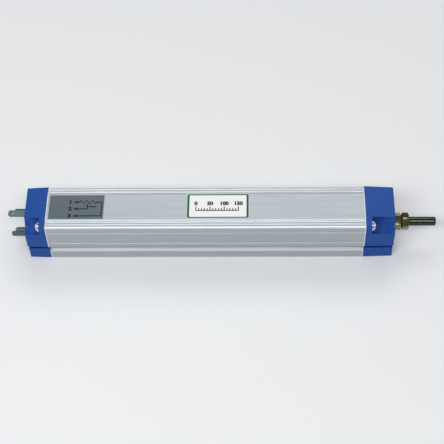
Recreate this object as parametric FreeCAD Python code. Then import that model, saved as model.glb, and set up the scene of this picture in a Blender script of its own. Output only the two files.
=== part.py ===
import FreeCAD, Part
import math
import os

from FreeCAD import Vector

# Linear position sensor: a wiper carriage on a drive rod reads a resistive track in an extruded housing.
# X runs along the rod and points out of the front end, Z is up, and the base face lies at Z = 0.

# Travel of the rod and its running room
stroke = 150.0
end_gap = 0.5
rod_clearance = 0.04

# Extruded housing, from the base up
body_width = 33.0
foot_width = 28.4
foot_height = 6.9
foot_rise = 1.5
clamp_groove_height = 8.5
clamp_groove_depth = 5.3
ledge_thickness = 2.6
side_wall = 2.6
neck_wall = 2.6
base_wall = 2.6
roof_wall = 2.6
corner_radius = 1.6
lip_radius = 0.5
groove_radius = 0.75
groove_depth = 0.6
upper_groove_drop = 6.2
lower_groove_drop = 17.6
label_band_width = 20.4
label_band_rise = 0.45
label_band_slope = 0.7
fine_groove_width = 1.3
fine_groove_depth = 0.45
fine_groove_inset = 2.4
fine_groove_pitch = 2.0

# Drive rod, its button head and its nuts
rod_diameter = 6.0
axis_above_ledge = 2.4
head_diameter = 8.0
head_thickness = 2.5
neck_diameter = 4.4
thread_diameter = 5.9
thread_pitch_diameter = 5.35
nut_flats = 10.0
nut_height = 5.0
nut_turn = 35.0
nut_bevel_angle = 30.0
nut_gap = 0.5
free_thread = 17.6
tip_chamfer = 0.8
thread_clearance = 0.03

# Wiper carriage and its guide shoes
carriage_length = 26.0
carriage_cover = 1.2
carriage_side_gap = 0.5
coupling_wall = 6.4
coupling_play = 0.2
coupling_end_play = 0.05
wing_thickness = 3.0
shoe_wall = 1.3
shoe_length = 20.0
shoe_gap = 0.1
shoe_side_gap = 0.2

# Track board and the wiper that sweeps it
wiper_height = 1.7
wiper_thickness = 0.2
wiper_base_length = 8.0
wiper_arm_length = 9.0
wiper_tip_length = 1.5
wiper_setback = 1.5
wiper_lift = 0.05
finger_slit = 0.3
fingers_per_arm = 3
board_thickness = 1.6
board_play = 0.05
board_slot_depth = 1.1
board_setback = 6.75
track_thickness = 0.12
track_width = 3.8
track_gap = 4.4
track_margin = 4.0
rivet_diameter = 1.6
rivet_head_diameter = 2.8
rivet_head_height = 0.5
rivet_length = 3.0
rivet_spacing = 7.0

# End caps, gaskets and the screws in the corner channels
front_cap_length = 19.1
rear_cap_length = 13.9
cap_wall = 2.5
cap_core_depth = 11.0
cap_base_gap = 0.1
cap_draft_angle = 1.9
cap_edge_radius = 0.6
gasket_thickness = 0.5
screw_inset = 3.6
screw_diameter = 4.0
screw_head_diameter = 7.0
screw_head_height = 2.6
screw_engagement = 10.0
screw_seat = 4.0
screw_clearance = 0.2
screw_thread_clearance = 0.05
channel_inset = 1.5
channel_clearance = 0.3
channel_wall = 1.6
port_diameter = 6.4
port_gap = 1.7

# Rod bearing, seal and end stops
bush_wall = 2.0
bush_fit = 0.02
bush_shoulder = 1.2
shoulder_clearance = 0.6
spigot_length = 19.75
spigot_wall = 1.3
seal_diameter = 12.0
seal_depth = 4.2
seal_recess = 0.4
lip_clearance = 0.06
front_bumper_thickness = 2.0
rear_bumper_thickness = 1.5
stop_hub_width = 7.5
stop_hub_length = 7.25

# Four-blade connector base in the rear cap
connector_hub_cover = 0.6
connector_flange_step = 1.8
connector_flange_thickness = 3.0
connector_fit = 0.05
blade_pitch = 18.0
blade_width = 4.8
blade_thickness = 0.8
blade_reach = 10.2
earth_offset = 1.0
earth_reach = 12.1
blade_tip_chamfer = 1.0
earth_hole_diameter = 1.3
earth_hole_setback = 3.2
tail_width = 3.0
tail_length = 2.5
tail_root = 1.0
insert_diameter = 4.8
insert_hole_diameter = 2.5
insert_length = 8.0
insert_bottom_gap = 1.0

# Square lead wires behind the connector
lead_thickness = 1.0
lead_corner = 0.8
lead_step = 1.9
lead_spacing = 1.4

# Plates on the top face
plate_length = 35.7
plate_setback = 1.35
plate_thickness = 0.25
plate_width = 18.8
label_length = 40.6
label_offset = 8.25
label_thickness = 0.15
label_width = 19.5
label_shift = 0.4

# How near an edge's middle counts as found
edge_match = 0.01

# Heights worked out from the base up
lip_z = foot_height + clamp_groove_height
ledge_z = lip_z + ledge_thickness
axis_z = ledge_z + axis_above_ledge
carriage_top_z = axis_z + head_diameter / 2 + carriage_cover
carriage_base_z = axis_z - head_diameter / 2 - carriage_cover
board_z = carriage_top_z + wiper_height
board_top_z = board_z + board_thickness
port_z = board_top_z + port_gap + port_diameter / 2
body_height = port_z + screw_inset
roof_z = body_height - roof_wall
shoulder_z = body_height - label_band_rise

# Half widths worked out from the outer width
half_width = body_width / 2
half_foot = foot_width / 2
half_band = label_band_width / 2
half_neck = half_width - clamp_groove_depth
half_cavity = half_width - side_wall
half_well = half_neck - neck_wall
half_carriage = half_well - carriage_side_gap

# Stations along X, with the housing's middle at X = 0
carriage_room = carriage_length + stroke + 2 * end_gap
stop_room = stop_hub_length + rear_bumper_thickness + front_bumper_thickness + spigot_length
inner_length = carriage_room + stop_room
profile_length = inner_length - 2 * gasket_thickness
profile_front = profile_length / 2
profile_rear = -profile_front
front_cap_in = profile_front + gasket_thickness
front_cap_out = front_cap_in + front_cap_length
rear_cap_in = profile_rear - gasket_thickness
rear_cap_out = rear_cap_in - rear_cap_length
rear_stop_x = rear_cap_in + stop_hub_length
carriage_rear = rear_stop_x + rear_bumper_thickness + end_gap
carriage_front = carriage_rear + carriage_length
spigot_end = front_cap_in - spigot_length
board_rear = rear_cap_in + board_setback
nut_x = front_cap_out + nut_gap
nut_end = nut_x + 2 * nut_height
rod_tip = nut_end + free_thread

# Radii shared by pieces that fit each other
rod_r = rod_diameter / 2
thread_r = thread_diameter / 2
engaged_r = thread_pitch_diameter / 2
bush_bore_r = rod_r + rod_clearance
bush_r = bush_bore_r + bush_wall
spigot_r = bush_r + bush_fit + spigot_wall
channel_r = (screw_inset - channel_inset) * math.sqrt(2) + screw_head_diameter / 2 + channel_clearance
blade_r = blade_pitch / 2
earth_r = blade_r + earth_offset
hub_r = earth_r + blade_thickness / 2 + connector_hub_cover
flange_r = hub_r + connector_flange_step

parts_folder = "parts"


def corner_places(inset):
    """Two opposite corners of a cap, top front and bottom back, where its screws sit."""
    return (inset - half_width, body_height - inset), (half_foot - inset, cap_base_gap + inset)


screw_places = corner_places(screw_inset)
channel_places = corner_places(channel_inset)


def prism(outline, x_from, x_to):
    """Extrude a closed (y, z) outline along X."""
    corners = [Vector(x_from, y, z) for y, z in outline]
    face = Part.Face(Part.makePolygon(corners + corners[:1]))
    return face.extrude(Vector(x_to - x_from, 0, 0))


def block(x_range, y_range, z_range):
    """A box between two stations on each axis."""
    size = [high - low for low, high in (x_range, y_range, z_range)]
    return Part.makeBox(*size, Vector(x_range[0], y_range[0], z_range[0]))


def bar(radius, x_from, x_to, place):
    """A round bar along X, with its axis at the (y, z) place."""
    return Part.makeCylinder(radius, x_to - x_from, Vector(x_from, *place), Vector(1, 0, 0))


def tube(outer, inner, x_from, x_to, place):
    return bar(outer, x_from, x_to, place).cut(bar(inner, x_from, x_to, place))


def turned(outline):
    """Turn a closed (x, radius) outline about the rod's axis."""
    corners = [Vector(x, 0, axis_z + radius) for x, radius in outline]
    face = Part.Face(Part.makePolygon(corners + corners[:1]))
    return face.revolve(Vector(0, 0, axis_z), Vector(1, 0, 0), 360)


def mirrored_outline(right_side):
    """Close a (y, z) outline with its mirror image about Y = 0."""
    return right_side + [(-y, z) for y, z in reversed(right_side)]


def tapered(sections):
    """A flat-sided solid between two (x, outline) sections with as many corners."""
    high, low = [[Vector(x, y, z) for y, z in outline] for x, outline in sorted(sections, reverse=True)]
    rings = [high, low]
    for corner in range(len(high)):
        rings.append([high[corner - 1], high[corner], low[corner], low[corner - 1]])
    return Part.Solid(Part.Shell([Part.Face(Part.makePolygon(ring + ring[:1])) for ring in rings]))


def edges_at(solid, middles):
    """Edges of the solid whose middle lies at one of the points."""
    spots = [Vector(*middle) for middle in middles]
    return [edge for edge in solid.Edges
            if min(edge.CenterOfMass.distanceToPoint(spot) for spot in spots) < edge_match]


def housing_envelope(x_from, x_to):
    """The outer form of the extrusion: foot with sloped top, clamp grooves, body and raised label band."""
    right_side = [(half_foot, 0), (half_foot, foot_height), (half_neck, foot_height + foot_rise),
                  (half_neck, lip_z), (half_width, lip_z), (half_width, shoulder_z),
                  (half_band + label_band_slope, shoulder_z), (half_band, body_height)]
    return prism(mirrored_outline(right_side), x_from, x_to)


def housing_cavity(x_from, x_to):
    """The hollow: a wide upper chamber over a well."""
    span = (x_from, x_to)
    chamber = block(span, (-half_cavity, half_cavity), (ledge_z, roof_z))
    well = block(span, (-half_well, half_well), (base_wall, roof_z))
    return chamber.fuse(well).removeSplitter()


def housing_profile():
    span = (profile_rear, profile_front)
    shell = housing_envelope(*span)
    corners = [(0, side * half_width, shoulder_z) for side in (-1, 1)]
    lips = [(0, side * y, z) for side in (-1, 1) for y, z in ((half_width, lip_z), (half_foot, foot_height))]
    shell = shell.makeFillet(corner_radius, edges_at(shell, corners))
    shell = shell.makeFillet(lip_radius, edges_at(shell, lips))
    hollow = housing_cavity(*span)
    for place in screw_places:
        hollow = hollow.cut(bar(port_diameter / 2, *span, place))
    cuts = [hollow]
    slot_half = half_cavity + board_slot_depth
    cuts.append(block(span, (-slot_half, slot_half), (board_z - board_play, board_top_z + board_play)))
    for place in screw_places:
        cuts.append(bar(screw_diameter / 2 + screw_thread_clearance, *span, place))
    for side in (-1, 1):
        for drop in (upper_groove_drop, lower_groove_drop):
            centre_y = side * (half_width + groove_radius - groove_depth)
            cuts.append(bar(groove_radius, *span, (centre_y, body_height - drop)))
        for step in range(2):
            centre_y = side * (half_width - fine_groove_inset - step * fine_groove_pitch)
            notch = [(centre_y - fine_groove_width / 2, shoulder_z),
                     (centre_y, shoulder_z - fine_groove_depth),
                     (centre_y + fine_groove_width / 2, shoulder_z)]
            cuts.append(prism(notch, *span))
    for cut in cuts:
        shell = shell.cut(cut)
    return shell


def end_gasket(x_from, x_to):
    """A flat gasket cut to the end of the extrusion, with a square pad over each screw port."""
    hollow = housing_cavity(x_from, x_to)
    half_pad = port_diameter / 2
    for y, z in screw_places:
        hollow = hollow.cut(block((x_from, x_to), (y - half_pad, y + half_pad), (z - half_pad, z + half_pad)))
    gasket = housing_envelope(x_from, x_to).cut(hollow)
    for place in screw_places:
        gasket = gasket.cut(bar(screw_diameter / 2 + screw_clearance, x_from, x_to, place))
    return gasket


def cap_outline(draft):
    right_side = [(half_foot - draft, cap_base_gap), (half_foot - draft, lip_z),
                  (half_width - draft, lip_z), (half_width - draft, body_height - draft)]
    return mirrored_outline(right_side)


def cap_block(x_in, x_out):
    """A moulded cap that tapers from the housing's outline, with rounded top corners and outer end."""
    draft = abs(x_out - x_in) * math.tan(math.radians(cap_draft_angle))
    cap = tapered([(x_in, cap_outline(0)), (x_out, cap_outline(draft))])
    middle_x = (x_in + x_out) / 2
    end_middle_z = (lip_z + body_height - draft) / 2
    middles = [(x_out, 0, body_height - draft)]
    for side in (-1, 1):
        middles.append((x_out, side * (half_width - draft), end_middle_z))
        middles.append((middle_x, side * (half_width - draft / 2), body_height - draft / 2))
    return cap.makeFillet(cap_edge_radius, edges_at(cap, middles))


def cap_with_channels(x_in, x_out):
    """A cap block with its two screw holes and the round channels along its corners."""
    outward = math.copysign(1, x_out - x_in)
    cap = cap_block(x_in, x_out)
    seat = x_in + outward * screw_seat
    for place in channel_places:
        cap = cap.cut(bar(channel_r, *sorted((seat, x_out)), place))
    for place in screw_places:
        cap = cap.cut(bar(screw_diameter / 2 + screw_clearance, *sorted((x_in, seat)), place))
    return cap


def cap_core():
    """The hollow moulded into the front cap from behind, round the rod boss and the screw posts."""
    span = (front_cap_in, front_cap_in + cap_core_depth)
    draft = cap_wall + cap_core_depth * math.tan(math.radians(cap_draft_angle))
    wide = half_width - draft
    narrow = half_foot - draft
    core = block(span, (-wide, wide), (lip_z + draft, body_height - draft))
    core = core.fuse(block(span, (-narrow, narrow), (cap_base_gap + draft, body_height - draft)))
    core = core.cut(bar(spigot_r, *span, (0, axis_z)))
    for place in channel_places:
        core = core.cut(bar(channel_r + channel_wall, *span, place))
    return core


def front_cap():
    axis = (0, axis_z)
    cap = cap_with_channels(front_cap_in, front_cap_out).cut(cap_core())
    cap = cap.fuse(bar(spigot_r, spigot_end, front_cap_in + cap_core_depth, axis)).removeSplitter()
    seal_x = front_cap_out - seal_depth
    cap = cap.cut(bar(bush_r + bush_fit, spigot_end, seal_x - bush_shoulder, axis))
    cap = cap.cut(bar(rod_r + shoulder_clearance, spigot_end, front_cap_out, axis))
    return cap.cut(bar(seal_diameter / 2, seal_x, front_cap_out, axis)).removeSplitter()


def rear_cap():
    axis = (0, axis_z)
    cap = cap_with_channels(rear_cap_in, rear_cap_out)
    cap = cap.cut(bar(hub_r + connector_fit, rear_cap_out, rear_cap_in, axis))
    shoulder_x = rear_cap_in - connector_flange_thickness
    return cap.cut(bar(flange_r + connector_fit, shoulder_x, rear_cap_in, axis)).removeSplitter()


def cap_screw(place, x_seat, outward):
    """A cheese-head screw whose head rests on the cap's seat."""
    head_r = screw_head_diameter / 2
    shank_r = screw_diameter / 2
    shank = screw_seat + gasket_thickness + screw_engagement
    outline = [(-shank, 0), (-shank, shank_r), (0, shank_r), (0, head_r), (screw_head_height, head_r),
               (screw_head_height, 0)]
    corners = [Vector(outward * x, 0, radius) for x, radius in outline]
    face = Part.Face(Part.makePolygon(corners + corners[:1]))
    screw = face.revolve(Vector(0, 0, 0), Vector(1, 0, 0), 360)
    screw.translate(Vector(x_seat, *place))
    return screw


def cap_screws(x_in, outward):
    seat = x_in + outward * screw_seat
    return Part.makeCompound([cap_screw(place, seat, outward) for place in screw_places])


def rod_bush():
    bush_end = front_cap_out - seal_depth - bush_shoulder
    return tube(bush_r, bush_bore_r, spigot_end, bush_end, (0, axis_z))


def rod_seal():
    """A wiper ring pressed into the cap's recess."""
    lip_r = rod_r + lip_clearance
    span = (front_cap_out - seal_depth, front_cap_out - seal_recess)
    return tube(seal_diameter / 2, lip_r, *span, (0, axis_z))


def stop_block(x_from, x_to):
    """A length of the square post that carries the rear end stop."""
    half_hub = stop_hub_width / 2
    return block((x_from, x_to), (-half_hub, half_hub), (axis_z - half_hub, axis_z + half_hub))


def front_bumper():
    span = (spigot_end - front_bumper_thickness, spigot_end)
    bumper = block(span, (-spigot_r, spigot_r), (axis_z - spigot_r, axis_z + spigot_r))
    return bumper.cut(bar(rod_r + shoulder_clearance, *span, (0, axis_z)))


def rear_bumper():
    return stop_block(rear_stop_x, rear_stop_x + rear_bumper_thickness)


def terminal_blade(reach, radius, quarter_turns, pierced):
    """A flat contact blade with a bevelled tip and a narrow solder tail."""
    tip = rear_cap_out - reach
    root = rear_cap_in - tail_root
    tail = rear_cap_in + tail_length
    half_blade = blade_width / 2
    upper = [(tail, tail_width / 2), (root, tail_width / 2), (root, half_blade),
             (tip + blade_tip_chamfer, half_blade), (tip, half_blade - blade_tip_chamfer)]
    outline = upper + [(x, -y) for x, y in reversed(upper)]
    blade_z = axis_z + radius - blade_thickness / 2
    corners = [Vector(x, y, blade_z) for x, y in outline]
    blade = Part.Face(Part.makePolygon(corners + corners[:1])).extrude(Vector(0, 0, blade_thickness))
    if pierced:
        centre = Vector(tip + earth_hole_setback, 0, blade_z)
        blade = blade.cut(Part.makeCylinder(earth_hole_diameter / 2, blade_thickness, centre))
    blade.rotate(Vector(0, 0, axis_z), Vector(1, 0, 0), 90 * quarter_turns)
    return blade


def terminals():
    blades = {"earth_terminal": terminal_blade(earth_reach, earth_r, 0, True)}
    for number in (1, 2, 3):
        blades["terminal_%d" % number] = terminal_blade(blade_reach, blade_r, number, False)
    return blades


def connector_base(blades):
    """The moulded base that holds the blades and the retaining screw's insert."""
    axis = (0, axis_z)
    base = bar(hub_r, rear_cap_out, rear_cap_in, axis)
    base = base.fuse(bar(flange_r, rear_cap_in - connector_flange_thickness, rear_cap_in, axis))
    base = base.fuse(stop_block(rear_cap_in, rear_stop_x)).removeSplitter()
    pocket_end = rear_cap_out + insert_length + insert_bottom_gap
    base = base.cut(bar(insert_diameter / 2, rear_cap_out, pocket_end, axis))
    for blade in blades.values():
        base = base.cut(blade)
    return base


def screw_insert():
    insert_end = rear_cap_out + insert_length
    return tube(insert_diameter / 2, insert_hole_diameter / 2, rear_cap_out, insert_end, (0, axis_z))


def bent_lead(route):
    """A square lead along straight runs, with each corner of the route cut off."""
    points = [Vector(*point) for point in route]
    path = [points[0]]
    for before, corner, after in zip(points, points[1:], points[2:]):
        path.append(corner + (before - corner).normalize() * lead_corner)
        path.append(corner + (after - corner).normalize() * lead_corner)
    path.append(points[-1])
    half = lead_thickness / 2
    offsets = ((-half, -half), (half, -half), (half, half), (-half, half))
    corners = [path[0] + Vector(0, y, z) for y, z in offsets]
    section = Part.makePolygon(corners + corners[:1])
    mitred = 1
    return Part.makePolygon(path).makePipeShell([section], True, False, mitred)


def lead_wires():
    """Leads from the solder tails to the board's rear edge, and one from the earth blade to the roof."""
    tail_x = rear_cap_in + tail_length
    riser_x = tail_x + lead_step
    board_middle = board_z + board_thickness / 2
    low_z = axis_z - blade_r
    earth_z = axis_z + earth_r
    side_y = (stop_hub_width + lead_thickness) / 2 + lead_spacing
    leads = {"earth_lead": [(tail_x, 0, earth_z), (riser_x, 0, earth_z), (riser_x, 0, roof_z)]}
    for number, y in ((1, -blade_r), (3, blade_r)):
        leads["lead_wire_%d" % number] = [(tail_x, y, axis_z), (riser_x, y, axis_z),
                                          (riser_x, y, board_middle), (board_rear, y, board_middle)]
    leads["lead_wire_2"] = [(tail_x, 0, low_z), (riser_x, 0, low_z), (riser_x, side_y, low_z),
                            (riser_x, side_y, board_middle), (board_rear, side_y, board_middle)]
    return {name: bent_lead(route) for name, route in leads.items()}


def track_board():
    half_board = half_cavity + board_slot_depth - board_play
    return block((board_rear, profile_front - end_gap), (-half_board, half_board), (board_z, board_top_z))


def printed_track(side):
    """A film on the underside of the board, as long as the wiper's sweep."""
    tip_x = carriage_rear + wiper_setback + wiper_base_length + wiper_arm_length
    inner = side * track_gap / 2
    outer = side * (track_gap / 2 + track_width)
    x_range = (tip_x - track_margin, tip_x + wiper_tip_length + stroke + track_margin)
    return block(x_range, sorted((inner, outer)), (board_z - track_thickness, board_z))


def wiper_carriage():
    """The moulded slide: side wings for the shoes and a slot that takes the rod's button head from above."""
    x_range = (carriage_rear, carriage_front)
    carriage = block(x_range, (-half_carriage, half_carriage), (carriage_base_z, carriage_top_z))
    wing_half = half_cavity - shoe_side_gap - shoe_wall
    wing_z = ledge_z + shoe_gap + shoe_wall
    shoe_rear = carriage_rear + (carriage_length - shoe_length) / 2
    wing_span = (shoe_rear, shoe_rear + shoe_length)
    wings = block(wing_span, (-wing_half, wing_half), (wing_z, wing_z + wing_thickness))
    carriage = carriage.fuse(wings).removeSplitter()
    head_front = carriage_front - coupling_wall
    head_rear = head_front - head_thickness - 2 * coupling_end_play
    slots = ((head_diameter, head_rear, head_front), (neck_diameter, head_front, carriage_front))
    for diameter, low, high in slots:
        reach = diameter / 2 + coupling_play
        carriage = carriage.cut(bar(reach, low, high, (0, axis_z)))
        carriage = carriage.cut(block((low, high), (-reach, reach), (axis_z, carriage_top_z)))
    hole_z = carriage_top_z - rivet_length
    for x, y in rivet_places():
        carriage = carriage.cut(Part.makeCylinder(rivet_diameter / 2, rivet_length, Vector(x, y, hole_z)))
    return carriage


def guide_shoe(side):
    """A low-friction channel that wraps the carriage's wing and runs on the housing's ledge."""
    shoe_rear = carriage_rear + (carriage_length - shoe_length) / 2
    x_range = (shoe_rear, shoe_rear + shoe_length)
    outer = half_cavity - shoe_side_gap
    low = ledge_z + shoe_gap
    high = low + wing_thickness + 2 * shoe_wall
    shoe = block(x_range, sorted((side * half_carriage, side * outer)), (low, high))
    wing = sorted((side * half_carriage, side * (outer - shoe_wall)))
    return shoe.cut(block(x_range, wing, (low + shoe_wall, high - shoe_wall)))


def rivet_places():
    x = carriage_rear + wiper_setback + wiper_base_length / 2
    return [(x, side * rivet_spacing / 2) for side in (-1, 1)]


def wiper_contact():
    """A sprung leaf with two arms of slit fingers, one arm for each track."""
    base_x = carriage_rear + wiper_setback
    arm_x = base_x + wiper_base_length
    tip_x = arm_x + wiper_arm_length
    end_x = tip_x + wiper_tip_length
    tip_top = board_z - track_thickness - wiper_lift
    outline = [(base_x, carriage_top_z), (arm_x, carriage_top_z), (tip_x, tip_top - wiper_thickness),
               (end_x, tip_top - wiper_thickness), (end_x, tip_top), (tip_x, tip_top),
               (arm_x, carriage_top_z + wiper_thickness), (base_x, carriage_top_z + wiper_thickness)]
    half_leaf = track_gap / 2 + track_width
    corners = [Vector(x, -half_leaf, z) for x, z in outline]
    leaf = Part.Face(Part.makePolygon(corners + corners[:1])).extrude(Vector(0, 2 * half_leaf, 0))
    z_range = (carriage_top_z - wiper_thickness, board_z)
    leaf = leaf.cut(block((arm_x, end_x), (-track_gap / 2, track_gap / 2), z_range))
    for side in (-1, 1):
        for slit in range(1, fingers_per_arm):
            y = side * (track_gap / 2 + track_width * slit / fingers_per_arm)
            leaf = leaf.cut(block((arm_x, end_x), (y - finger_slit / 2, y + finger_slit / 2), z_range))
    for x, y in rivet_places():
        leaf = leaf.cut(Part.makeCylinder(rivet_diameter / 2, wiper_thickness, Vector(x, y, carriage_top_z)))
    return leaf


def wiper_rivets():
    rivets = []
    seat_z = carriage_top_z + wiper_thickness
    for x, y in rivet_places():
        shank_z = carriage_top_z - rivet_length
        shank = Part.makeCylinder(rivet_diameter / 2, seat_z - shank_z, Vector(x, y, shank_z))
        head = Part.makeCylinder(rivet_head_diameter / 2, rivet_head_height, Vector(x, y, seat_z))
        rivets.append(shank.fuse(head).removeSplitter())
    return Part.makeCompound(rivets)


def drive_rod():
    """The rod: a button head at the carriage, a shoulder under the nuts and a plain threaded end."""
    head_front = carriage_front - coupling_wall - coupling_end_play
    head_rear = head_front - head_thickness
    shoulder = carriage_front + end_gap
    return turned([(head_rear, 0), (head_rear, head_diameter / 2), (head_front, head_diameter / 2),
                   (head_front, neck_diameter / 2), (shoulder, neck_diameter / 2), (shoulder, rod_r),
                   (nut_x, rod_r), (nut_x, engaged_r), (nut_end, engaged_r), (nut_end, thread_r),
                   (rod_tip - tip_chamfer, thread_r), (rod_tip, thread_r - tip_chamfer), (rod_tip, 0)])


def hexagon(flats, turn):
    """Corners of a hexagon about the rod's axis."""
    corner_r = flats / math.sqrt(3)
    angles = [math.radians(60 * corner + turn) for corner in range(6)]
    return [(corner_r * math.cos(angle), axis_z + corner_r * math.sin(angle)) for angle in angles]


def hex_nut(x_from):
    """A hexagon nut with its corners bevelled at both faces."""
    x_to = x_from + nut_height
    widest = nut_flats + 2 * nut_height / math.tan(math.radians(nut_bevel_angle))
    nut = prism(hexagon(nut_flats, nut_turn), x_from, x_to)
    flat_turn = nut_turn + 30
    narrow, wide = [hexagon(flats, flat_turn) for flats in (nut_flats, widest)]
    for small, large in ((x_from, x_to), (x_to, x_from)):
        nut = nut.common(tapered([(small, narrow), (large, wide)]))
    return nut.cut(bar(engaged_r + thread_clearance, x_from, x_to, (0, axis_z)))


def top_plate(x_from, length, width, shift, thickness):
    """A thin plate laid on the raised band of the top face."""
    y_range = (shift - width / 2, shift + width / 2)
    return block((x_from, x_from + length), y_range, (body_height, body_height + thickness))


def build():
    blades = terminals()
    plate_x = profile_rear + plate_setback
    label_x = label_offset - label_length / 2
    pieces = {
        "housing_profile": housing_profile(),
        "front_cap": front_cap(),
        "rear_cap": rear_cap(),
        "front_gasket": end_gasket(profile_front, front_cap_in),
        "rear_gasket": end_gasket(rear_cap_in, profile_rear),
        "front_cap_screws": cap_screws(front_cap_in, 1),
        "rear_cap_screws": cap_screws(rear_cap_in, -1),
        "rod_bush": rod_bush(),
        "rod_seal": rod_seal(),
        "front_bumper": front_bumper(),
        "rear_bumper": rear_bumper(),
        "connector_base": connector_base(blades),
        "connector_insert": screw_insert(),
        "track_board": track_board(),
        "resistive_track": printed_track(-1),
        "collector_track": printed_track(1),
        "wiring_plate": top_plate(plate_x, plate_length, plate_width, 0, plate_thickness),
        "type_label": top_plate(label_x, label_length, label_width, label_shift, label_thickness),
        "wiper_carriage": wiper_carriage(),
        "front_guide_shoe": guide_shoe(-1),
        "back_guide_shoe": guide_shoe(1),
        "wiper_contact": wiper_contact(),
        "wiper_rivets": wiper_rivets(),
        "drive_rod": drive_rod(),
        "inner_nut": hex_nut(nut_x),
        "outer_nut": hex_nut(nut_x + nut_height),
    }
    pieces.update(blades)
    pieces.update(lead_wires())
    return pieces


os.makedirs(parts_folder, exist_ok=True)
for name, shape in build().items():
    shape.exportStep(os.path.join(parts_folder, name + ".step"))
    print(name, len(shape.Solids), shape.isValid(), round(shape.Volume, 2))
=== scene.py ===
import math
import bmesh
import bpy
from mathutils import Matrix, Vector


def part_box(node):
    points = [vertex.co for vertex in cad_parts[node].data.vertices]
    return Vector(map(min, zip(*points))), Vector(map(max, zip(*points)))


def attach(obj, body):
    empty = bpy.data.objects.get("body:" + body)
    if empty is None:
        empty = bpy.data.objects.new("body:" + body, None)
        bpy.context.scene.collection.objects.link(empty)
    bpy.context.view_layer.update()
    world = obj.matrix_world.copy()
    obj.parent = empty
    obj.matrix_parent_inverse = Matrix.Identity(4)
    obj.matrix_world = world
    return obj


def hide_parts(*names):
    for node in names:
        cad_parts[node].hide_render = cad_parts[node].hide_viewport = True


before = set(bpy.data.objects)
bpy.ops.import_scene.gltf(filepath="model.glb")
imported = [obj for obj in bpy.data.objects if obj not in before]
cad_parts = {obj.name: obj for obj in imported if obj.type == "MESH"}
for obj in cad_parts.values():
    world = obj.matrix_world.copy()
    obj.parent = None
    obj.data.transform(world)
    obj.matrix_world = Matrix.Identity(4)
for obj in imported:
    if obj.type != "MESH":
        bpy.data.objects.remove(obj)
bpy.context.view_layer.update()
mm = 0.001
mergeGap = 1e-7  # points nearer than this become one
flatAngle = 1.0  # degrees, faces that bend less than this become one
creaseAngle = 35.0  # degrees, edges that bend more than this are creases
axisHeight = sum(corner.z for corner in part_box("drive_rod")) / 2  # the rod's axis lies along X at Y = 0
print("frame loaded:", len(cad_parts), "nodes")


def screenColor(red, green, blue):  # a colour as read on screen, 0 to 255
    def linear(value):
        value /= 255
        return value / 12.92 if value <= 0.04045 else ((value + 0.055) / 1.055) ** 2.4
    return (linear(red), linear(green), linear(blue), 1.0)


def addObject(name, data):
    item = bpy.data.objects.new(name, data)
    bpy.context.scene.collection.objects.link(item)
    return item


# node helpers

def newTree(name, kind, inputs, outputs):  # an empty group with its named sockets, and its two ends
    tree = bpy.data.node_groups.new(name, kind)
    for side, sockets in (("INPUT", inputs), ("OUTPUT", outputs)):
        for socketName, socketKind in sockets.items():
            tree.interface.new_socket(name=socketName, in_out=side, socket_type="NodeSocket" + socketKind)
    return tree, tree.nodes.new("NodeGroupInput").outputs, tree.nodes.new("NodeGroupOutput").inputs


def feed(tree, socket, value):  # a link where the value is a socket, else a set value
    if isinstance(value, bpy.types.NodeSocket):
        tree.links.new(value, socket)
    else:
        socket.default_value = value


def addNode(tree, kind, inputs, **options):
    node = tree.nodes.new(kind)
    for name, value in options.items():
        setattr(node, name, value)
    for name, value in inputs.items():
        feed(tree, node.inputs[name], value)
    return node


def calc(tree, operation, *values):
    return addNode(tree, "ShaderNodeMath", dict(enumerate(values)), operation=operation).outputs[0]


def clamped(tree, value):
    return calc(tree, "MINIMUM", calc(tree, "MAXIMUM", value, 0.0), 1.0)


def mixed(tree, share, first, second):  # the Mix node's colours go in at 6 and 7 and come out at 2
    return addNode(tree, "ShaderNodeMix", {0: share, 6: first, 7: second}, data_type="RGBA").outputs[2]


def ownPlace(tree):
    return tree.nodes.new("ShaderNodeTexCoord").outputs["Object"]


# finishes

grainNoise = dict(detail=3.0, low=0.3, high=0.7)  # low and high are stretched to 0 and 1
marking = dict(smudgeScale=55.0, smudgeDetail=4.0, scuffScale=260.0, scuffWidth=0.012, scuffPatch=0.6,
               cloudFrom=0.45, cloudGain=1.6, dulling=0.35)
# the painted corner highlight: the colour mixed in, how far below the top and how far in the band reaches,
# and the roughness and metallic it adds
corners = dict(bright=(226, 230, 233), bandRise=0.45 * mm, reach=1.5 * mm, fadeShare=0.5, dulling=0.06,
               metalGain=0.45)


def surfaceGrainGroup():  # two colours mixed by stretched noise, with roughness and height to match
    tree, inlet, outlet = newTree(
        "surfaceGrain", "ShaderNodeTree",
        {"Base": "Color", "Shift": "Color", "Stretch": "Vector", "Roughness": "Float", "Spread": "Float"},
        {"Color": "Color", "Roughness": "Float", "Height": "Float"})
    mapping = addNode(tree, "ShaderNodeMapping", {"Vector": ownPlace(tree), "Scale": inlet["Stretch"]})
    noise = addNode(tree, "ShaderNodeTexNoise", {
        "Vector": mapping.outputs[0], "Scale": 1.0, "Detail": grainNoise["detail"]}).outputs[0]
    share = addNode(tree, "ShaderNodeMapRange", {
        "Value": noise, "From Min": grainNoise["low"], "From Max": grainNoise["high"]}).outputs[0]
    centred = calc(tree, "SUBTRACT", share, 0.5)
    rough = calc(tree, "MULTIPLY_ADD", centred, inlet["Spread"], inlet["Roughness"])
    feed(tree, outlet["Color"], mixed(tree, share, inlet["Base"], inlet["Shift"]))
    feed(tree, outlet["Roughness"], rough)
    feed(tree, outlet["Height"], noise)
    return tree


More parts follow.
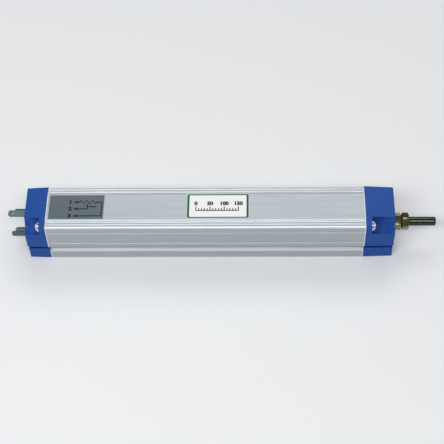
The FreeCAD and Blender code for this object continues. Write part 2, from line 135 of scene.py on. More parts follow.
def handlingMarksGroup():  # faint smudges and short scuffs over a finish
    tree, inlet, outlet = newTree(
        "handlingMarks", "ShaderNodeTree",
        {"Color": "Color", "Roughness": "Float", "Mark": "Color", "Amount": "Float"},
        {"Color": "Color", "Roughness": "Float"})
    place = ownPlace(tree)
    smudge = addNode(tree, "ShaderNodeTexNoise", {
        "Vector": place, "Scale": marking["smudgeScale"], "Detail": marking["smudgeDetail"]}).outputs[0]
    scuff = addNode(tree, "ShaderNodeTexVoronoi", {
        "Vector": place, "Scale": marking["scuffScale"]}, feature="DISTANCE_TO_EDGE").outputs["Distance"]
    thin = calc(tree, "LESS_THAN", scuff, marking["scuffWidth"])
    patch = calc(tree, "GREATER_THAN", smudge, marking["scuffPatch"])
    scratch = calc(tree, "MULTIPLY", thin, patch)
    above = calc(tree, "SUBTRACT", smudge, marking["cloudFrom"])
    cloud = calc(tree, "MULTIPLY", above, marking["cloudGain"])
    mark = calc(tree, "MAXIMUM", calc(tree, "MAXIMUM", scratch, cloud), 0.0)
    strength = calc(tree, "MULTIPLY", mark, inlet["Amount"])
    rough = calc(tree, "MULTIPLY_ADD", strength, marking["dulling"], inlet["Roughness"])
    feed(tree, outlet["Color"], mixed(tree, strength, inlet["Color"], inlet["Mark"]))
    feed(tree, outlet["Roughness"], rough)
    return tree


def burnishedCornersGroup():  # a painted highlight along the long corners of the extrusion: a lighter colour mixed in, with a little more roughness and metallic
    tree, inlet, outlet = newTree(
        "paintedCornerHighlight", "ShaderNodeTree",
        {"Color": "Color", "Roughness": "Float", "Metallic": "Float", "Bright": "Color",
         "Half width": "Float", "Height": "Float", "Reach": "Float"},
        {"Color": "Color", "Roughness": "Float", "Metallic": "Float"})
    place = addNode(tree, "ShaderNodeSeparateXYZ", {0: ownPlace(tree)}).outputs

    def nearness(value, edge):  # 0 a reach inside the edge, and 1 a fade further out
        inside = calc(tree, "SUBTRACT", value, calc(tree, "SUBTRACT", edge, inlet["Reach"]))
        fade = calc(tree, "MULTIPLY", inlet["Reach"], corners["fadeShare"])
        return clamped(tree, calc(tree, "DIVIDE", inside, fade))
    sideways = nearness(calc(tree, "ABSOLUTE", place["Y"]), inlet["Half width"])
    mask = calc(tree, "MULTIPLY", sideways, nearness(place["Z"], inlet["Height"]))
    rough = calc(tree, "MULTIPLY_ADD", mask, corners["dulling"], inlet["Roughness"])
    metal = calc(tree, "MULTIPLY_ADD", mask, corners["metalGain"], inlet["Metallic"])
    feed(tree, outlet["Color"], mixed(tree, mask, inlet["Color"], inlet["Bright"]))
    feed(tree, outlet["Roughness"], rough)
    feed(tree, outlet["Metallic"], metal)
    return tree


surfaceGrain = surfaceGrainGroup()
handlingMarks = handlingMarksGroup()
paintedCornerHighlight = burnishedCornersGroup()

grainDepth = 0.02 * mm
plainLook = dict(metallic=0.0, specular=0.5, edgeTint=1.0, spread=0.1, marks=0.15)
looks = {  # colours as seen on screen; stretch is the grain's fineness per metre along X, Y and Z
    "anodisedAluminium": dict(base=(180, 187, 191), shift=(168, 176, 181), stretch=(25, 2600, 2600),
                              roughness=0.42, metallic=0.4, bump=0.15, marks=0.1),
    "bluePlastic": dict(base=(22, 71, 148), shift=(28, 77, 155), stretch=(3500, 3500, 3500),
                        roughness=0.32, specular=0.15, bump=0.15, mark=(80, 112, 176), marks=0.1),
    "paleGasket": dict(base=(232, 235, 238), shift=(222, 226, 230), stretch=(1500, 1500, 1500),
                       roughness=0.75, bump=0.2),
    "brightZinc": dict(base=(206, 212, 218), shift=(182, 190, 200), stretch=(900, 900, 900),
                       roughness=0.22, metallic=1.0, bump=0.05),
    "yellowZinc": dict(base=(146, 144, 110), shift=(122, 112, 80), stretch=(380, 380, 380), roughness=0.15,
                       spread=0.03, metallic=1.0, bump=0.03, mark=(120, 78, 58), marks=0.12),
    "groundSteel": dict(base=(190, 190, 190), shift=(168, 169, 171), stretch=(2600, 260, 260),
                        roughness=0.24, spread=0.08, metallic=1.0, bump=0.06),
    "rolledThread": dict(base=(90, 94, 83), shift=(78, 82, 72), stretch=(700, 700, 700), roughness=0.1,
                         spread=0.02, metallic=1.0, edgeTint=0.25, bump=0.02, marks=0.05),
    "tinnedBlade": dict(base=(84, 102, 110), shift=(77, 95, 103), stretch=(300, 1800, 1800), roughness=0.25,
                        spread=0.06, metallic=0.55, bump=0.04, mark=(118, 108, 78), marks=0.25),
    "blackRubber": dict(base=(30, 30, 31), shift=(40, 40, 41), stretch=(2200, 2200, 2200),
                        roughness=0.78, bump=0.25),
    "blackPlastic": dict(base=(36, 37, 40), shift=(46, 47, 50), stretch=(2600, 2600, 2600),
                         roughness=0.55, bump=0.25),
    "plainBrass": dict(base=(206, 172, 96), shift=(186, 150, 80), stretch=(1200, 1200, 1200),
                       roughness=0.3, metallic=1.0, bump=0.06),
    "slidePlastic": dict(base=(222, 220, 208), shift=(212, 209, 196), stretch=(1800, 1800, 1800),
                         roughness=0.45, bump=0.12),
    "boardLaminate": dict(base=(96, 124, 74), shift=(84, 112, 66), stretch=(2400, 2400, 2400),
                          roughness=0.42, bump=0.2),
    "carbonFilm": dict(base=(28, 28, 30), shift=(38, 38, 40), stretch=(40, 1800, 1800),
                       roughness=0.35, bump=0.06),
    "leadSleeve": dict(base=(214, 213, 206), shift=(202, 201, 194), stretch=(1500, 1500, 1500),
                       roughness=0.5, bump=0.08),
    "greyFoil": dict(base=(94, 108, 111), shift=(87, 101, 104), stretch=(60, 2400, 2400),
                     roughness=0.5, spread=0.12, metallic=0.15, bump=0.12),
    "whiteLabel": dict(base=(244, 246, 244), shift=(238, 240, 238), stretch=(1600, 1600, 1600),
                       roughness=0.5, bump=0.08, mark=(225, 226, 222), marks=0.05),
    "greenPrint": dict(base=(20, 98, 66), shift=(26, 106, 72), stretch=(2000, 2000, 2000),
                       roughness=0.5, specular=0.2, bump=0.05),
    "darkPrint": dict(base=(14, 18, 20), shift=(20, 25, 27), stretch=(2000, 2000, 2000),
                      roughness=0.55, specular=0.15, bump=0.05),
}


def makeFinish(name, ownLook):  # what a look leaves out comes from the plain look
    look = {**plainLook, "mark": ownLook["shift"], **ownLook}
    material = bpy.data.materials.new(name)
    material.use_nodes = True
    tree = material.node_tree
    sockets = tree.nodes["Principled BSDF"].inputs
    tint = look["edgeTint"]
    sockets["Metallic"].default_value = look["metallic"]
    sockets["Specular IOR Level"].default_value = look["specular"]
    sockets["Specular Tint"].default_value = (tint, tint, tint, 1.0)
    grain = addNode(tree, "ShaderNodeGroup", {
        "Base": screenColor(*look["base"]), "Shift": screenColor(*look["shift"]), "Stretch": look["stretch"],
        "Roughness": look["roughness"], "Spread": look["spread"]}, node_tree=surfaceGrain).outputs
    marks = addNode(tree, "ShaderNodeGroup", {
        "Color": grain["Color"], "Roughness": grain["Roughness"], "Mark": screenColor(*look["mark"]),
        "Amount": look["marks"]}, node_tree=handlingMarks).outputs
    bump = addNode(tree, "ShaderNodeBump", {
        "Strength": look["bump"], "Distance": grainDepth, "Height": grain["Height"]}).outputs[0]
    feed(tree, sockets["Base Color"], marks["Color"])
    feed(tree, sockets["Roughness"], marks["Roughness"])
    feed(tree, sockets["Normal"], bump)
    return material


# paints the corner highlight colour into the aluminium's long corners, with a little more roughness and
# metallic there
def burnishCorners(material):
    tree = material.node_tree
    sockets = tree.nodes["Principled BSDF"].inputs
    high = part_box("housing_profile")[1]
    cornerHighlightMix = addNode(tree, "ShaderNodeGroup", {
        "Color": sockets["Base Color"].links[0].from_socket,
        "Roughness": sockets["Roughness"].links[0].from_socket,
        "Metallic": sockets["Metallic"].default_value, "Bright": screenColor(*corners["bright"]),
        "Half width": high.y, "Height": high.z - corners["bandRise"], "Reach": corners["reach"]},
        node_tree=paintedCornerHighlight).outputs
    feed(tree, sockets["Base Color"], cornerHighlightMix["Color"])
    feed(tree, sockets["Roughness"], cornerHighlightMix["Roughness"])
    feed(tree, sockets["Metallic"], cornerHighlightMix["Metallic"])


finishes = {name: makeFinish(name, look) for name, look in looks.items()}
burnishCorners(finishes["anodisedAluminium"])

nodeFinishes = {
    "anodisedAluminium": ["housing_profile"],
    "bluePlastic": ["front_cap", "rear_cap"],
    "paleGasket": ["front_gasket", "rear_gasket"],
    "tinnedBlade": ["earth_terminal", "terminal_1", "terminal_2", "terminal_3"],
    "blackRubber": ["rod_seal", "front_bumper", "rear_bumper"],
    "blackPlastic": ["connector_base"],
    "plainBrass": ["connector_insert", "wiper_contact", "wiper_rivets"],
    "slidePlastic": ["rod_bush", "wiper_carriage", "front_guide_shoe", "back_guide_shoe"],
    "boardLaminate": ["track_board"],
    "carbonFilm": ["resistive_track", "collector_track"],
    "leadSleeve": ["earth_lead", "lead_wire_1", "lead_wire_2", "lead_wire_3"],
    "greyFoil": ["wiring_plate"],
    "whiteLabel": ["type_label"],
    "brightZinc": ["front_cap_screws", "rear_cap_screws"],
    "groundSteel": ["drive_rod"],
    "yellowZinc": ["inner_nut", "outer_nut"],
}
for finishName, nodeNames in nodeFinishes.items():
    for nodeName in nodeNames:
        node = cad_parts[nodeName]
        node.data.materials.clear()
        node.data.materials.append(finishes[finishName])
print("finishes:", len(finishes))


# mesh helpers

def newPiece(name, mesh, finishName, body):
    piece = addObject(name, mesh)
    mesh.materials.clear()
    mesh.materials.append(finishes[finishName])
    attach(piece, body)
    return piece


def standIn(nodeName, mesh, finishName, body):  # a finer form in the place of a CAD node
    piece = newPiece(nodeName + "Form", mesh, finishName, body)
    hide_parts(nodeName)


def smoothed(mesh, angle=creaseAngle):  # edges over the angle stay sharp
    mesh.shade_smooth()
    mesh.set_sharp_from_angle(angle=math.radians(angle))
    return mesh


def formMesh(name, form):  # merges doubles and turns every face outwards
    bmesh.ops.remove_doubles(form, verts=form.verts, dist=mergeGap)
    bmesh.ops.recalc_face_normals(form, faces=form.faces)
    mesh = bpy.data.meshes.new(name)
    form.to_mesh(mesh)
    form.free()
    return mesh


def closedMesh(name, build):
    form = bmesh.new()
    build(form)
    return smoothed(formMesh(name, form))


def joined(name, meshes):
    form = bmesh.new()
    for mesh in meshes:
        form.from_mesh(mesh)
    return formMesh(name, form)


def mergedCopy(nodeName):  # a copy of a CAD node, its loose triangles merged into whole faces
    def build(form):
        form.from_mesh(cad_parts[nodeName].data)
        bmesh.ops.remove_doubles(form, verts=form.verts, dist=mergeGap)
        limit = math.radians(flatAngle)
        bmesh.ops.dissolve_limit(form, angle_limit=limit, verts=form.verts, edges=form.edges)
    return closedMesh(nodeName + "Form", build)


def plainMesh(holder):  # the mesh that the holder's modifiers make
    bpy.context.view_layer.update()
    graph = bpy.context.evaluated_depsgraph_get()
    return bpy.data.meshes.new_from_object(holder.evaluated_get(graph))


def modified(mesh, kind, **options):  # runs one modifier on the mesh
    holder = addObject("holder", mesh)
    modifier = holder.modifiers.new("change", kind)
    for name, value in options.items():
        setattr(modifier, name, value)
    result = plainMesh(holder)
    bpy.data.objects.remove(holder)
    return result


def bevelled(mesh, width, segments=2):  # softens sharp edges
    return modified(mesh, "BEVEL", width=width, segments=segments, limit_method="ANGLE",
                    angle_limit=math.radians(creaseAngle))


def cutAway(mesh, cutterMesh):
    cutter = addObject("cutter", cutterMesh)
    result = modified(mesh, "BOOLEAN", object=cutter)
    bpy.data.objects.remove(cutter)
    return result


def rings(form, loops, closed=True):  # joins loops of as many points, and the last to the first if closed
    rows = [[form.verts.new(point) for point in loop] for loop in loops]
    pairs = list(zip(rows, rows[1:])) + ([(rows[-1], rows[0])] if closed else [])
    for low, high in pairs:
        for corner in range(len(low)):
            form.faces.new((low[corner - 1], low[corner], high[corner], high[corner - 1]))
    return rows


def prism(form, first, second):  # two outlines of as many points, joined and closed at both ends
    for row in rings(form, [first, second], False):
        form.faces.new(row)


def turns(count):  # equal steps once round, in radians
    return [2 * math.pi * step / count for step in range(count)]


def turned(form, profile, around, height):  # turns x and radius pairs about an axis along X
    rings(form, [[(x, radius * math.sin(a), height + radius * math.cos(a)) for a in turns(around)]
                 for x, radius in profile], False)


# node trees that repeat a form or follow a path

def grown(name, tree, values, source=None):  # runs a tree once and keeps its result as a plain mesh
    holder = addObject(name + "Holder", source or bpy.data.meshes.new(name + "Source"))
    modifier = holder.modifiers.new("grow", "NODES")
    modifier.node_group = tree
    for item in tree.interface.items_tree:
        if item.item_type == "SOCKET" and item.in_out == "INPUT" and item.name in values:
            modifier[item.identifier] = values[item.name]
    holder.update_tag()
    mesh = plainMesh(holder)
    mesh.name = name
    bpy.data.objects.remove(holder)
    return mesh


def endTree(tree, outlet, geometry, finish):
    realize = addNode(tree, "GeometryNodeRealizeInstances", {0: geometry})
    paint = addNode(tree, "GeometryNodeSetMaterial", {"Geometry": realize.outputs[0], "Material": finish})
    feed(tree, outlet[0], paint.outputs[0])


gridHalf = 0.5  # the thread's grid is 1 by 1, centred
endRow = 0.4999  # rows past this are the grid's two ends
weldGap = 1e-6


def threadTree():  # a grid rolled round X, raised along a helix and closed at both ends
    sizes = ("Start", "Length", "Pitch", "Crest", "Depth", "Bevel", "Axis height", "Flank gain", "Root level")
    tree, inlet, outlet = newTree(
        "rolledThread", "GeometryNodeTree",
        {**dict.fromkeys(sizes, "Float"), "Rows": "Int", "Around": "Int", "Finish": "Material"},
        {"Geometry": "Geometry"})
    grid = addNode(tree, "GeometryNodeMeshGrid", {
        "Size X": 2 * gridHalf, "Size Y": 2 * gridHalf, "Vertices X": inlet["Rows"],
        "Vertices Y": inlet["Around"]})
    position = tree.nodes.new("GeometryNodeInputPosition").outputs[0]
    spot = addNode(tree, "ShaderNodeSeparateXYZ", {0: position}).outputs
    run = calc(tree, "ADD", spot["X"], gridHalf)
    turn = calc(tree, "ADD", spot["Y"], gridHalf)
    along = calc(tree, "MULTIPLY_ADD", run, inlet["Length"], inlet["Start"])
    phase = calc(tree, "FRACT", calc(tree, "SUBTRACT", calc(tree, "DIVIDE", along, inlet["Pitch"]), turn))
    swing = calc(tree, "ABSOLUTE", calc(tree, "MULTIPLY_ADD", phase, 2.0, -1.0))
    ridge = calc(tree, "SUBTRACT", 1.0, swing)  # 0 mid root, 1 mid crest
    flank = clamped(tree, calc(tree, "MULTIPLY_ADD", ridge, inlet["Flank gain"], inlet["Root level"]))
    valley = calc(tree, "MULTIPLY", calc(tree, "SUBTRACT", 1.0, flank), inlet["Depth"])
    left = calc(tree, "MULTIPLY", calc(tree, "SUBTRACT", 1.0, run), inlet["Length"])
    cone = calc(tree, "ADD", calc(tree, "SUBTRACT", inlet["Crest"], inlet["Bevel"]), left)
    radius = calc(tree, "MINIMUM", calc(tree, "SUBTRACT", inlet["Crest"], valley), cone)
    middle = calc(tree, "LESS_THAN", calc(tree, "ABSOLUTE", spot["X"]), endRow)
    radius = calc(tree, "MULTIPLY", radius, middle)  # the end rows shrink to the axis
    angle = calc(tree, "MULTIPLY", turn, 2 * math.pi)
    place = addNode(tree, "ShaderNodeCombineXYZ", {
        "X": along, "Y": calc(tree, "MULTIPLY", radius, calc(tree, "SINE", angle)),
        "Z": calc(tree, "MULTIPLY_ADD", radius, calc(tree, "COSINE", angle), inlet["Axis height"])})
    move = addNode(tree, "GeometryNodeSetPosition", {
        "Geometry": grid.outputs[0], "Position": place.outputs[0]})
    weld = addNode(tree, "GeometryNodeMergeByDistance", {"Geometry": move.outputs[0], "Distance": weldGap})
    endTree(tree, outlet, weld.outputs[0], inlet["Finish"])
    return tree


def copiesTree():  # one form set at each point of the source
    tree, inlet, outlet = newTree(
        "copiesAtPoints", "GeometryNodeTree",
        {"Geometry": "Geometry", "Form": "Object", "Turn": "Rotation", "Finish": "Material"},
        {"Geometry": "Geometry"})
    form = addNode(tree, "GeometryNodeObjectInfo", {"Object": inlet["Form"]})
    spread = addNode(tree, "GeometryNodeInstanceOnPoints", {
        "Points": inlet["Geometry"], "Instance": form.outputs["Geometry"], "Rotation": inlet["Turn"]})
    endTree(tree, outlet, spread.outputs[0], inlet["Finish"])
    return tree


def inkTree():  # thin raised strokes along the edges of the source
    tree, inlet, outlet = newTree(
        "inkStrokes", "GeometryNodeTree",
        {"Geometry": "Geometry", "Width": "Float", "Thickness": "Float", "Finish": "Material"},
        {"Geometry": "Geometry"})
    path = addNode(tree, "GeometryNodeMeshToCurve", {"Mesh": inlet["Geometry"]})
    upright = addNode(tree, "GeometryNodeSetCurveNormal", {"Curve": path.outputs[0]}, mode="Z_UP")
    section = addNode(tree, "GeometryNodeCurvePrimitiveQuadrilateral", {
        "Width": inlet["Width"], "Height": inlet["Thickness"]})
    sweep = addNode(tree, "GeometryNodeCurveToMesh", {
        "Curve": upright.outputs[0], "Profile Curve": section.outputs[0], "Fill Caps": True})
    endTree(tree, outlet, sweep.outputs[0], inlet["Finish"])
    return tree


# drive rod with its rolled thread

rod = dict(radius=3.0 * mm, edge=0.2 * mm, buttonRadius=4.0 * mm, buttonEnd=2.5 * mm, neckRadius=2.2 * mm,
           neckEnd=9.45 * mm, coreRadius=2.6 * mm, around=64)
thread = dict(crest=2.95 * mm, pitch=1.0 * mm, depth=0.5 * mm, bevel=0.7 * mm, overlap=0.6 * mm,
              flankGain=3.6, rootLevel=-0.2, rowsPerPitch=20, around=57, sharp=40.0)


def makeShank():
    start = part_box("drive_rod")[0].x
    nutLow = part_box("inner_nut")[0].x
    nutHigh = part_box("outer_nut")[1].x
    edge, radius, button = rod["edge"], rod["radius"], rod["buttonRadius"]
    buttonEnd, neckEnd, coreEnd = start + rod["buttonEnd"], start + rod["neckEnd"], nutHigh - edge
    profile = [(start, 0.0), (start, button - edge), (start + edge, button),  # the button head
               (buttonEnd - edge, button), (buttonEnd, button - edge),
               (buttonEnd, rod["neckRadius"]), (neckEnd, rod["neckRadius"]),  # the neck
               (neckEnd, radius - edge), (neckEnd + edge, radius),  # the rod itself
               (nutLow - edge, radius), (nutLow, radius - edge),
               (nutLow, rod["coreRadius"]), (coreEnd, rod["coreRadius"]),  # the core in the nuts
               (coreEnd, 0.0)]
    mesh = closedMesh("rodShank", lambda form: turned(form, profile, rod["around"], axisHeight))
    piece = newPiece("rodShank", mesh, "groundSteel", "rod")
    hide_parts("drive_rod")


def makeThread():
    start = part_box("outer_nut")[1].x - thread["overlap"]
    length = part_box("drive_rod")[1].x - start
    grid = grown("threadGrid", threadTree(), {
        "Start": start, "Length": length, "Pitch": thread["pitch"], "Crest": thread["crest"],
        "Depth": thread["depth"], "Bevel": thread["bevel"], "Axis height": axisHeight,
        "Flank gain": thread["flankGain"], "Root level": thread["rootLevel"], "Around": thread["around"],
        "Rows": int(length / thread["pitch"] * thread["rowsPerPitch"]), "Finish": finishes["rolledThread"]})
    mesh = smoothed(joined("rodThread", [grid]), thread["sharp"])
    newPiece("rodThread", mesh, "rolledThread", "rod")
    print("rod:", len(mesh.polygons), "thread faces")


makeShank()
makeThread()


# hexagon nuts, corners turned off by a cone

nut = dict(flats=10.0 * mm, faceShare=0.9, coneAngle=30.0, bore=2.7 * mm, lead=0.45 * mm, around=96,
           edge=0.1 * mm, sharp=40.0, twists={"inner_nut": -26.0, "outer_nut": -43.0})


def makeNut(nodeName, twist):
    low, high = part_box(nodeName)
    flat = nut["flats"] / 2
    face = flat * nut["faceShare"]
    slope = math.tan(math.radians(nut["coneAngle"]))
    bore, lead = nut["bore"], nut["lead"]

    def build(form):
        sections = []
        for angle in turns(nut["around"]):
            reach = flat / math.cos((angle + math.pi / 6) % (math.pi / 3) - math.pi / 6)  # the hexagon
            rim = (reach - face) * slope
            outline = [(low.x + lead, bore), (low.x, bore + lead), (low.x, face), (low.x + rim, reach),
                       (high.x - rim, reach), (high.x, face), (high.x, bore + lead), (high.x - lead, bore)]
            across, up = math.sin(angle + twist), math.cos(angle + twist)
            sections.append([(x, radius * across, axisHeight + radius * up) for x, radius in outline])
        rings(form, sections)
    mesh = smoothed(bevelled(closedMesh(nodeName + "Form", build), nut["edge"]), nut["sharp"])
    standIn(nodeName, mesh, "yellowZinc", "rod")


for nodeName, degrees in nut["twists"].items():
    makeNut(nodeName, math.radians(degrees))
print("nuts:", len(nut["twists"]))


# plug blades, the same forms with softened edges

blade = dict(edge=0.16 * mm, sharp=20.0)  # the low angle keeps the broad faces flat


def makeBlade(nodeName):
    mesh = smoothed(bevelled(mergedCopy(nodeName), blade["edge"]), blade["sharp"])
    standIn(nodeName, mesh, "tinnedBlade", "housing")


for nodeName in nodeFinishes["tinnedBlade"]:
    makeBlade(nodeName)
print("blades:", len(nodeFinishes["tinnedBlade"]))


# blue caps with a relief line cut along their foot, just under the lip

relief = dict(lip=15.4 * mm, floor=10.6 * mm, foot=14.2 * mm, depth=1.5 * mm, undercut=1.4 * mm,
              past=0.3 * mm)  # how far the cutter goes past the cap


def reliefCutter(start, end):  # one undercut bar for each side
    inner, outer = relief["foot"] - relief["depth"], relief["foot"] + relief["past"]
    floor, top = relief["floor"], relief["lip"] + relief["past"] / 2
    outline = [(outer, floor), (inner, floor - relief["undercut"]), (inner, top), (outer, top)]

    def build(form):
        for side in (-1, 1):
            prism(form, *[[(x, side * y, z) for y, z in outline] for x in (start, end)])
    return closedMesh("reliefCutter", build)


def makeCap(nodeName, start, end):
    cutter = reliefCutter(start - relief["past"], end + relief["past"])
    cap = smoothed(cutAway(mergedCopy(nodeName), cutter))
    mesh = modified(cap, "WEIGHTED_NORMAL", keep_sharp=True)  # keeps flat faces flat beside rounded edges
    standIn(nodeName, mesh, "bluePlastic", "housing")


makeCap("front_cap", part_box("front_gasket")[1].x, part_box("front_cap")[1].x)
makeCap("rear_cap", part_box("rear_cap")[0].x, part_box("rear_gasket")[0].x)
print("caps: 2")


# slotted cheese-head screws with a rounded rim

screw = dict(headRadius=3.5 * mm, headHeight=2.6 * mm, rim=2.4 * mm, rimSteps=10, shankRadius=2.0 * mm,
             shankLength=14.5 * mm, slotWidth=1.15 * mm, slotDepth=1.2 * mm, slotLean=126.0, edge=0.12 * mm,
             edgeSteps=3, around=72)


def screwBody(form):
    length, shank = screw["shankLength"], screw["shankRadius"]
    head, height, rim = screw["headRadius"], screw["headHeight"], screw["rim"]
    profile = [(-length, 0.0), (-length, shank), (0.0, shank), (0.0, head)]
    for step in range(screw["rimSteps"] + 1):
        turn = math.pi / 2 * step / screw["rimSteps"]
        profile.append((height - rim * (1 - math.sin(turn)), head - rim * (1 - math.cos(turn))))
    profile.append((height, 0.0))
    turned(form, profile, screw["around"], 0.0)


def screwForm(lean):  # a turned body with its slot cut and its edges softened
    def slot(form):  # a bar centred on the head's top, half of its height cutting in, longer than the head
        height, length = 2 * screw["slotDepth"], 3 * screw["headRadius"]
        bmesh.ops.create_cube(form, size=1.0)
        size = Matrix.Diagonal((height, screw["slotWidth"], length, 1.0))
        place = Matrix.Translation((screw["headHeight"], 0, 0)) @ Matrix.Rotation(math.radians(lean), 4, "X")
        bmesh.ops.transform(form, matrix=place @ size, verts=form.verts)
    slotted = cutAway(closedMesh("screwBody", screwBody), closedMesh("slotCutter", slot))
    return bevelled(slotted, screw["edge"], screw["edgeSteps"])


def makeScrews(nodeName, facing, tree):  # facing is 1 towards +X and -1 towards -X
    low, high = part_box(nodeName)
    radius = screw["headRadius"]
    seat = high.x - screw["headHeight"] if facing > 0 else low.x + screw["headHeight"]
    upper = (seat, low.y + radius, high.z - radius)
    lower = (seat, high.y - radius, low.z + radius)
    points = bpy.data.meshes.new(nodeName + "Points")
    points.from_pydata([upper, lower], [], [])
    form = addObject("screwForm", screwForm(facing * screw["slotLean"]))
    turn = (0.0, 0.0, 0.0 if facing > 0 else math.pi)
    mesh = grown(nodeName + "Form", tree, {
        "Form": form, "Turn": turn, "Finish": finishes["brightZinc"]}, points)
    standIn(nodeName, smoothed(mesh), "brightZinc", "housing")
    bpy.data.objects.remove(form)


screwCopies = copiesTree()
makeScrews("front_cap_screws", 1, screwCopies)
makeScrews("rear_cap_screws", -1, screwCopies)
print("cap screws: 4")


# print on the plate and the label

def edgeMesh(name, lines, height):
    points, edges = [], []
    for line in lines:
        first = len(points)
        points += [(x, y, height) for x, y in line]
        edges += [(first + step, first + step + 1) for step in range(len(line) - 1)]
    mesh = bpy.data.meshes.new(name)
    mesh.from_pydata(points, edges, [])
    return mesh


numeral = dict(size=3.8 * mm, bold=0.06, curveSteps=5)  # bold is a share of the size


def numerals(words, height, thickness):  # plain numbers, each centred on its place
    meshes = []
    for text, x, y in words:
        curve = bpy.data.curves.new("numeral", "FONT")
        curve.body = text
        curve.size = numeral["size"]
        curve.align_x = "CENTER"
        curve.align_y = "CENTER"
        curve.extrude = thickness / 2
        curve.offset = numeral["size"] * numeral["bold"]
        curve.resolution_u = numeral["curveSteps"]
        holder = addObject("numeral", curve)
        mesh = plainMesh(holder)
        mesh.transform(Matrix.Translation((x, y, height)))
        meshes.append(mesh)
        bpy.data.objects.remove(holder)
    return meshes


def filledForms(name, outlines, height, thickness):  # flat filled outlines with a little thickness
    levels = (height - thickness / 2, height + thickness / 2)

    def build(form):
        for outline in outlines:
            prism(form, *[[(x, y, level) for x, y in outline] for level in levels])
    return closedMesh(name, build)


inkStrokes = inkTree()


def strokes(name, lines, width, height, thickness):
    values = {"Width": width, "Thickness": thickness, "Finish": finishes["darkPrint"]}
    return grown(name, inkStrokes, values, edgeMesh(name + "Paths", lines, height))


# wiring diagram on the grey plate; places are shares of the plate across and down

diagram = dict(stroke=0.8 * mm, ink=0.03 * mm, numerals=0.386, heads=0.435, lead=0.485, right=0.962,
               rows=(0.30, 0.586, 0.886), headLength=3.0 * mm, headHalf=0.95 * mm,
               coil=dict(start=0.555, end=0.867, rise=0.07, teeth=6),
               wiper=dict(across=0.70, stop=0.12, tip=0.08, headLength=1.6 * mm, headHalf=0.6 * mm),
               travel=dict(start=0.73, end=0.84, down=0.49, tip=1.2 * mm, back=0.4 * mm, headHalf=0.6 * mm))


def makeDiagram():
    low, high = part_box("wiring_plate")
    ink = diagram["ink"]
    height = high.z + ink / 2
    first, second, third = diagram["rows"]
    lead, right = diagram["lead"], diagram["right"]
    coil, wiper, travel = diagram["coil"], diagram["wiper"], diagram["travel"]

    def spot(across, down):
        return (low.x + (high.x - low.x) * across, high.y - (high.y - low.y) * down)
    loop = [spot(lead, first), spot(coil["start"], first)]  # through the coil and back along the third row
    for tooth in range(coil["teeth"]):
        share = (tooth + 0.5) / coil["teeth"]
        across = coil["start"] + (coil["end"] - coil["start"]) * share
        loop.append(spot(across, first + coil["rise"] * (1 if tooth % 2 else -1)))
    loop += [spot(coil["end"], first), spot(right, first), spot(right, third), spot(lead, third)]
    tap = [spot(lead, second), spot(wiper["across"], second), spot(wiper["across"], first + wiper["stop"])]
    way = [spot(travel["start"], travel["down"]), spot(travel["end"], travel["down"])]
    lines = strokes("diagramStrokes", [loop, tap, way], diagram["stroke"], height, ink)
    heads = []
    for row in diagram["rows"]:  # an arrow head at each terminal
        x, y = spot(diagram["heads"], row)
        base, half = x + diagram["headLength"], diagram["headHalf"]
        heads.append([(x, y), (base, y + half), (base, y - half)])
    x, y = spot(wiper["across"], first + wiper["tip"])  # one at the wiper
    base, half = y - wiper["headLength"], wiper["headHalf"]
    heads.append([(x, y), (x - half, base), (x + half, base)])
    x, y = way[1]  # and one for its way
    base, half = x - travel["back"], travel["headHalf"]
    heads.append([(x + travel["tip"], y), (base, y + half), (base, y - half)])
    arrows = filledForms("diagramArrows", heads, height, ink)
    words = [(str(number), *spot(diagram["numerals"], row)) for number, row in enumerate(diagram["rows"], 1)]
    mesh = joined("wiringDiagram", [lines, arrows, *numerals(words, height, ink)])
    newPiece("wiringDiagram", mesh, "darkPrint", "housing")
    print("wiring diagram printed")


makeDiagram()


# green border and a plain scale on the white label

label = dict(inset=0.25 * mm, sideBand=1.45 * mm, longBand=0.85 * mm, corner=1.0 * mm, innerCorner=0.6 * mm,
             cornerSteps=6, ink=0.03 * mm)
scale = dict(left=6.0 * mm, right=7.0 * mm, base=-3.2 * mm, ticks=16, longEvery=5, longTick=3.2 * mm,
             shortTick=1.8 * mm, stroke=0.6 * mm, numbers=(0, 50, 100, 150),
             numberRise=5.6 * mm)  # base is the line's place across the label


def roundedOutline(low, high, insetX, insetY, radius):
    left, right = low.x + insetX + radius, high.x - insetX - radius
    front, back = low.y + insetY + radius, high.y - insetY - radius
    points = []
    for quarter, (x, y) in enumerate(((right, back), (left, back), (left, front), (right, front))):
        for step in range(label["cornerSteps"] + 1):
            angle = math.radians(90 * (quarter + step / label["cornerSteps"]))
            points.append((x + radius * math.cos(angle), y + radius * math.sin(angle)))
    return points


def makeBorder():
    low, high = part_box("type_label")
    below, above = high.z, high.z + label["ink"]
    inset = label["inset"]
    outer = roundedOutline(low, high, inset, inset, label["corner"])
    sides, longs = inset + label["sideBand"], inset + label["longBand"]
    inner = roundedOutline(low, high, sides, longs, label["innerCorner"])

    def build(form):
        rings(form, [[(*far, below), (*far, above), (*near, above), (*near, below)]
                     for far, near in zip(outer, inner)])
    newPiece("labelBorder", closedMesh("labelBorder", build), "greenPrint", "housing")


def makeScale():
    low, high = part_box("type_label")
    ink = label["ink"]
    height = high.z + ink / 2
    start, base = low.x + scale["left"], scale["base"]
    length = high.x - scale["right"] - start
    lines = [[(start, base), (start + length, base)]]
    for tick in range(scale["ticks"]):
        x = start + length * tick / (scale["ticks"] - 1)
        rise = scale["shortTick"] if tick % scale["longEvery"] else scale["longTick"]
        lines.append([(x, base), (x, base + rise)])
    spaces = len(scale["numbers"]) - 1
    words = [(str(number), start + length * place / spaces, base + scale["numberRise"])
             for place, number in enumerate(scale["numbers"])]
    ticks = strokes("scaleStrokes", lines, scale["stroke"], height, ink)
    mesh = joined("plainScale", [ticks, *numerals(words, height, ink)])
    newPiece("plainScale", mesh, "darkPrint", "housing")


makeBorder()
makeScale()
print("label: border and scale")


# floor, light and camera

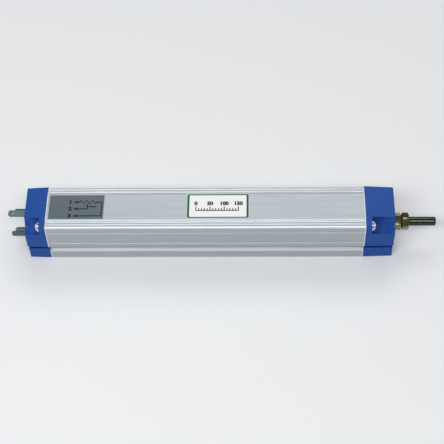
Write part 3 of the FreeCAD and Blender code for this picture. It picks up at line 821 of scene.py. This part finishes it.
studio = dict(floorColor=(238, 239, 240), floorRoughness=0.85, floorDrop=0.1 * mm, floorAround=64,
              floorRim=((0.0, 0.0), (5.0, 0.0), (5.6, 0.1), (6.0, 0.3), (6.2, 0.8)),  # radius and rise
              fade=(0.45, 1.9), fadeGlow=0.74, worldColor=(236, 240, 245), worldStrength=0.2)
panels = {  # place, what it faces, width and height, power
    "keyStrip": dict(place=(-0.22, -0.67, 1.05), target=(-0.22, 0.0, 0.02), size=(1.3, 0.3), power=10.5),
    "backPanel": dict(place=(0.05, 0.75, 1.0), target=(0.05, 0.0, 0.02), size=(0.9, 0.6), power=4.0),
    "leftPanel": dict(place=(-1.1, 0.0, 0.45), target=(0.0, 0.0, 0.02), size=(0.9, 0.8), power=3.0),
    "rightPanel": dict(place=(1.1, 0.0, 0.45), target=(0.0, 0.0, 0.02), size=(0.9, 0.8), power=2.5),
}
view = dict(place=(0.03375, -0.49378, 0.71620), elevation=54.62, yaw=2.696, roll=-2.379,
            focal=1292.0, pixels=444, sensor=36.0, clip=(0.01, 20.0))  # focal is in the photo's pixels


def farGlow(tree):  # keeps the floor pale where the lamps don't reach, and lights nothing
    away = addNode(tree, "ShaderNodeVectorMath", {0: ownPlace(tree)}, operation="LENGTH").outputs["Value"]
    near, far = studio["fade"]
    glow = addNode(tree, "ShaderNodeMapRange", {
        "Value": away, "From Min": near, "From Max": far, "To Max": studio["fadeGlow"]},
        interpolation_type="SMOOTHSTEP").outputs["Result"]
    rays = tree.nodes.new("ShaderNodeLightPath").outputs
    shown = calc(tree, "MAXIMUM", rays["Is Camera Ray"], rays["Is Glossy Ray"])
    shown = calc(tree, "MAXIMUM", shown, rays["Is Transmission Ray"])
    return calc(tree, "MULTIPLY", glow, shown)


def makeFloor():  # a wide flat sheet with its rim turned up
    def build(form):
        rings(form, [[(reach * math.cos(a), reach * math.sin(a), rise - studio["floorDrop"])
                      for a in turns(studio["floorAround"])] for reach, rise in studio["floorRim"]], False)
    floor = addObject("studioFloor", closedMesh("studioFloor", build))
    paint = bpy.data.materials.new("studioPaper")
    paint.use_nodes = True
    sockets = paint.node_tree.nodes["Principled BSDF"].inputs
    sockets["Base Color"].default_value = screenColor(*studio["floorColor"])
    sockets["Roughness"].default_value = studio["floorRoughness"]
    sockets["Emission Color"].default_value = screenColor(*studio["floorColor"])
    feed(paint.node_tree, sockets["Emission Strength"], farGlow(paint.node_tree))
    floor.data.materials.append(paint)


def addPanel(name, panelSet):
    lamp = bpy.data.lights.new(name, "AREA")
    lamp.shape = "RECTANGLE"
    lamp.size, lamp.size_y = panelSet["size"]
    lamp.energy = panelSet["power"]
    panel = addObject(name, lamp)
    panel.location = panelSet["place"]
    panel.rotation_euler = (Vector(panelSet["target"]) - panel.location).to_track_quat("-Z", "Y").to_euler()


def makeWorld():
    world = bpy.data.worlds.new("studioWorld")
    bpy.context.scene.world = world
    world.use_nodes = True
    sky = world.node_tree.nodes["Background"]
    sky.inputs["Color"].default_value = screenColor(*studio["worldColor"])
    sky.inputs["Strength"].default_value = studio["worldStrength"]


def makeCamera():
    tilt, yaw, roll = (math.radians(view[key]) for key in ("elevation", "yaw", "roll"))
    back = Vector((math.sin(yaw) * math.cos(tilt), -math.cos(yaw) * math.cos(tilt), math.sin(tilt)))
    right = Vector((math.cos(yaw), math.sin(yaw), 0.0))
    up = back.cross(right)
    across = right * math.cos(roll) + up * math.sin(roll)
    upward = up * math.cos(roll) - right * math.sin(roll)
    lens = bpy.data.cameras.new("photoCamera")
    lens.sensor_width = view["sensor"]
    lens.lens = view["focal"] / view["pixels"] * view["sensor"]
    lens.clip_start, lens.clip_end = view["clip"]
    camera = addObject("photoCamera", lens)
    turn = Matrix((across, upward, back)).transposed().to_4x4()
    camera.matrix_world = Matrix.Translation(view["place"]) @ turn
    bpy.context.scene.camera = camera


makeFloor()
for panelName, panelSet in panels.items():
    addPanel(panelName, panelSet)
makeWorld()
makeCamera()
bpy.context.scene.view_settings.view_transform = "Standard"
print("studio ready")
